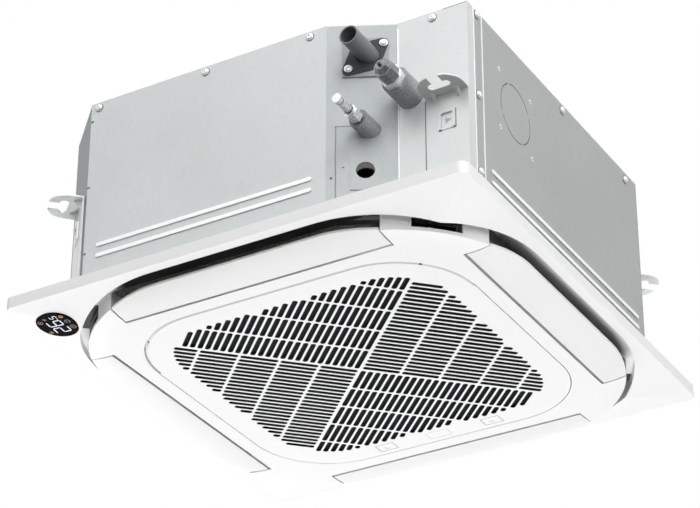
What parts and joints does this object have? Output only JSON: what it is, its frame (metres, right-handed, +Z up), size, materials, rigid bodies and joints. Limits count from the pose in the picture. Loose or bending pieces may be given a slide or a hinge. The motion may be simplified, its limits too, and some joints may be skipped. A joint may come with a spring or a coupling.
{
  "type": "ceiling cassette air conditioner",
  "caption": "Square ceiling cassette air conditioner: sheet-metal casing on rod hangers, with a white panel, slotted intake grille, swinging air flaps and pipe stubs.",
  "frame": {"origin": "middle of the four hanger hooks, in the plane where the suspension rods' nuts bear", "axes": "+Z up, the panel faces -Z, the pipes and the drain leave towards -Y, the fan turns about Z"},
  "size_m": [0.62, 0.6482, 0.296],
  "materials": {
    "galvanised_sheet": "plain galvanised sheet, matt and even",
    "drain_plastic": "dark grey moulded plastic",
    "copper": "drawn copper tube",
    "nut_metal": "turned and plated metal",
    "sleeve_foam": "grey closed-cell pipe insulation",
    "foam": "white moulded foam",
    "coil_aluminium": "thin aluminium fins",
    "pump_plastic": "off-white moulded plastic",
    "hose_rubber": "black rubber and foam",
    "motor_steel": "grey painted steel can",
    "fan_plastic": "light grey moulded plastic",
    "bell_plastic": "white moulded plastic",
    "board_green": "green circuit board",
    "panel_white": "white moulded plastic, satin",
    "flap_white": "white moulded plastic, satin",
    "latch_white": "white moulded plastic",
    "display_black": "black glossy window",
    "filter_black": "dark woven mesh on a plastic frame"
  },
  "bodies": {
    "casing": {"top_plate": "galvanised_sheet", "front_wall": "galvanised_sheet", "pipe_plate": "galvanised_sheet", "corner_sheet": "galvanised_sheet", "right_wall": "galvanised_sheet", "back_wall": "galvanised_sheet", "left_wall": "galvanised_sheet", "pipe_cover": "galvanised_sheet", "drain_flange": "drain_plastic", "drain_gasket": "hose_rubber", "drain_stub": "drain_plastic", "gas_pipe": "copper", "gas_nut": "nut_metal", "gas_sleeve": "sleeve_foam", "liquid_pipe": "copper", "liquid_nut": "nut_metal", "liquid_sleeve": "sleeve_foam", "hanger_near": "galvanised_sheet", "hanger_left": "galvanised_sheet", "hanger_right": "galvanised_sheet", "hanger_back": "galvanised_sheet", "foam_liner": "foam", "coil_fins": "coil_aluminium", "coil_bends": "copper", "coil_end_front": "galvanised_sheet", "coil_end_right": "galvanised_sheet", "drain_pan": "foam", "drain_pump": "pump_plastic", "drain_hose": "hose_rubber", "float_stem": "pump_plastic", "fan_motor": "motor_steel", "motor_mounts": "hose_rubber", "bell_mouth": "bell_plastic", "control_box": "galvanised_sheet", "control_cover": "galvanised_sheet", "control_board": "board_green", "terminal_block": "pump_plastic", "panel_seal": "hose_rubber", "panel_frame": "panel_white", "panel_centre": "panel_white", "panel_bolts": "nut_metal", "display_lens": "display_black", "display_board": "board_green", "flap_motor_front": "motor_steel", "flap_motor_right": "motor_steel", "flap_motor_back": "motor_steel", "flap_motor_left": "motor_steel"},
    "flap_front": {"flap_front": "flap_white"},
    "flap_right": {"flap_right": "flap_white"},
    "flap_back": {"flap_back": "flap_white"},
    "flap_left": {"flap_left": "flap_white"},
    "fan": {"turbo_fan": "fan_plastic", "fan_shaft": "nut_metal", "fan_nut": "nut_metal"},
    "float": {"float_ring": "pump_plastic"},
    "grille": {"intake_grille": "panel_white", "name_plate": "panel_white"},
    "filter": {"air_filter": "filter_black"},
    "latch_left": {"latch_left": "latch_white"},
    "latch_right": {"latch_right": "latch_white"}
  },
  "joints": [
    {"name": "flap_front_tilt", "type": "hinge", "parent": "casing", "child": "flap_front", "pos_m": [0, -0.256, -0.164], "axis": [1, 0, 0], "range_deg": [0, 60]},
    {"name": "flap_right_tilt", "type": "hinge", "parent": "casing", "child": "flap_right", "pos_m": [0.256, 0, -0.164], "axis": [0, 1, 0], "range_deg": [0, 60]},
    {"name": "flap_back_tilt", "type": "hinge", "parent": "casing", "child": "flap_back", "pos_m": [0, 0.256, -0.164], "axis": [-1, 0, 0], "range_deg": [0, 60]},
    {"name": "flap_left_tilt", "type": "hinge", "parent": "casing", "child": "flap_left", "pos_m": [-0.256, 0, -0.164], "axis": [0, -1, 0], "range_deg": [0, 60]},
    {"name": "fan_spin", "type": "hinge", "parent": "casing", "child": "fan", "pos_m": [0, 0, 0], "axis": [0, 0, 1], "continuous": true},
    {"name": "float_lift", "type": "slide", "parent": "casing", "child": "float", "axis": [0, 0, 1], "range_m": [0, 0.015]},
    {"name": "grille_hinge", "type": "hinge", "parent": "casing", "child": "grille", "pos_m": [0, -0.2135, -0.1709], "axis": [-1, 0, 0], "range_deg": [0, 60]},
    {"name": "filter_lift", "type": "slide", "parent": "grille", "child": "filter", "axis": [0, 0, 1], "range_m": [0, 0.01]},
    {"name": "latch_left_push", "type": "slide", "parent": "grille", "child": "latch_left", "axis": [0, 0, 1], "range_m": [0, 0.003], "stiffness_N_per_m": 300},
    {"name": "latch_right_push", "type": "slide", "parent": "grille", "child": "latch_right", "axis": [0, 0, 1], "range_m": [0, 0.003], "stiffness_N_per_m": 300}
  ]
}
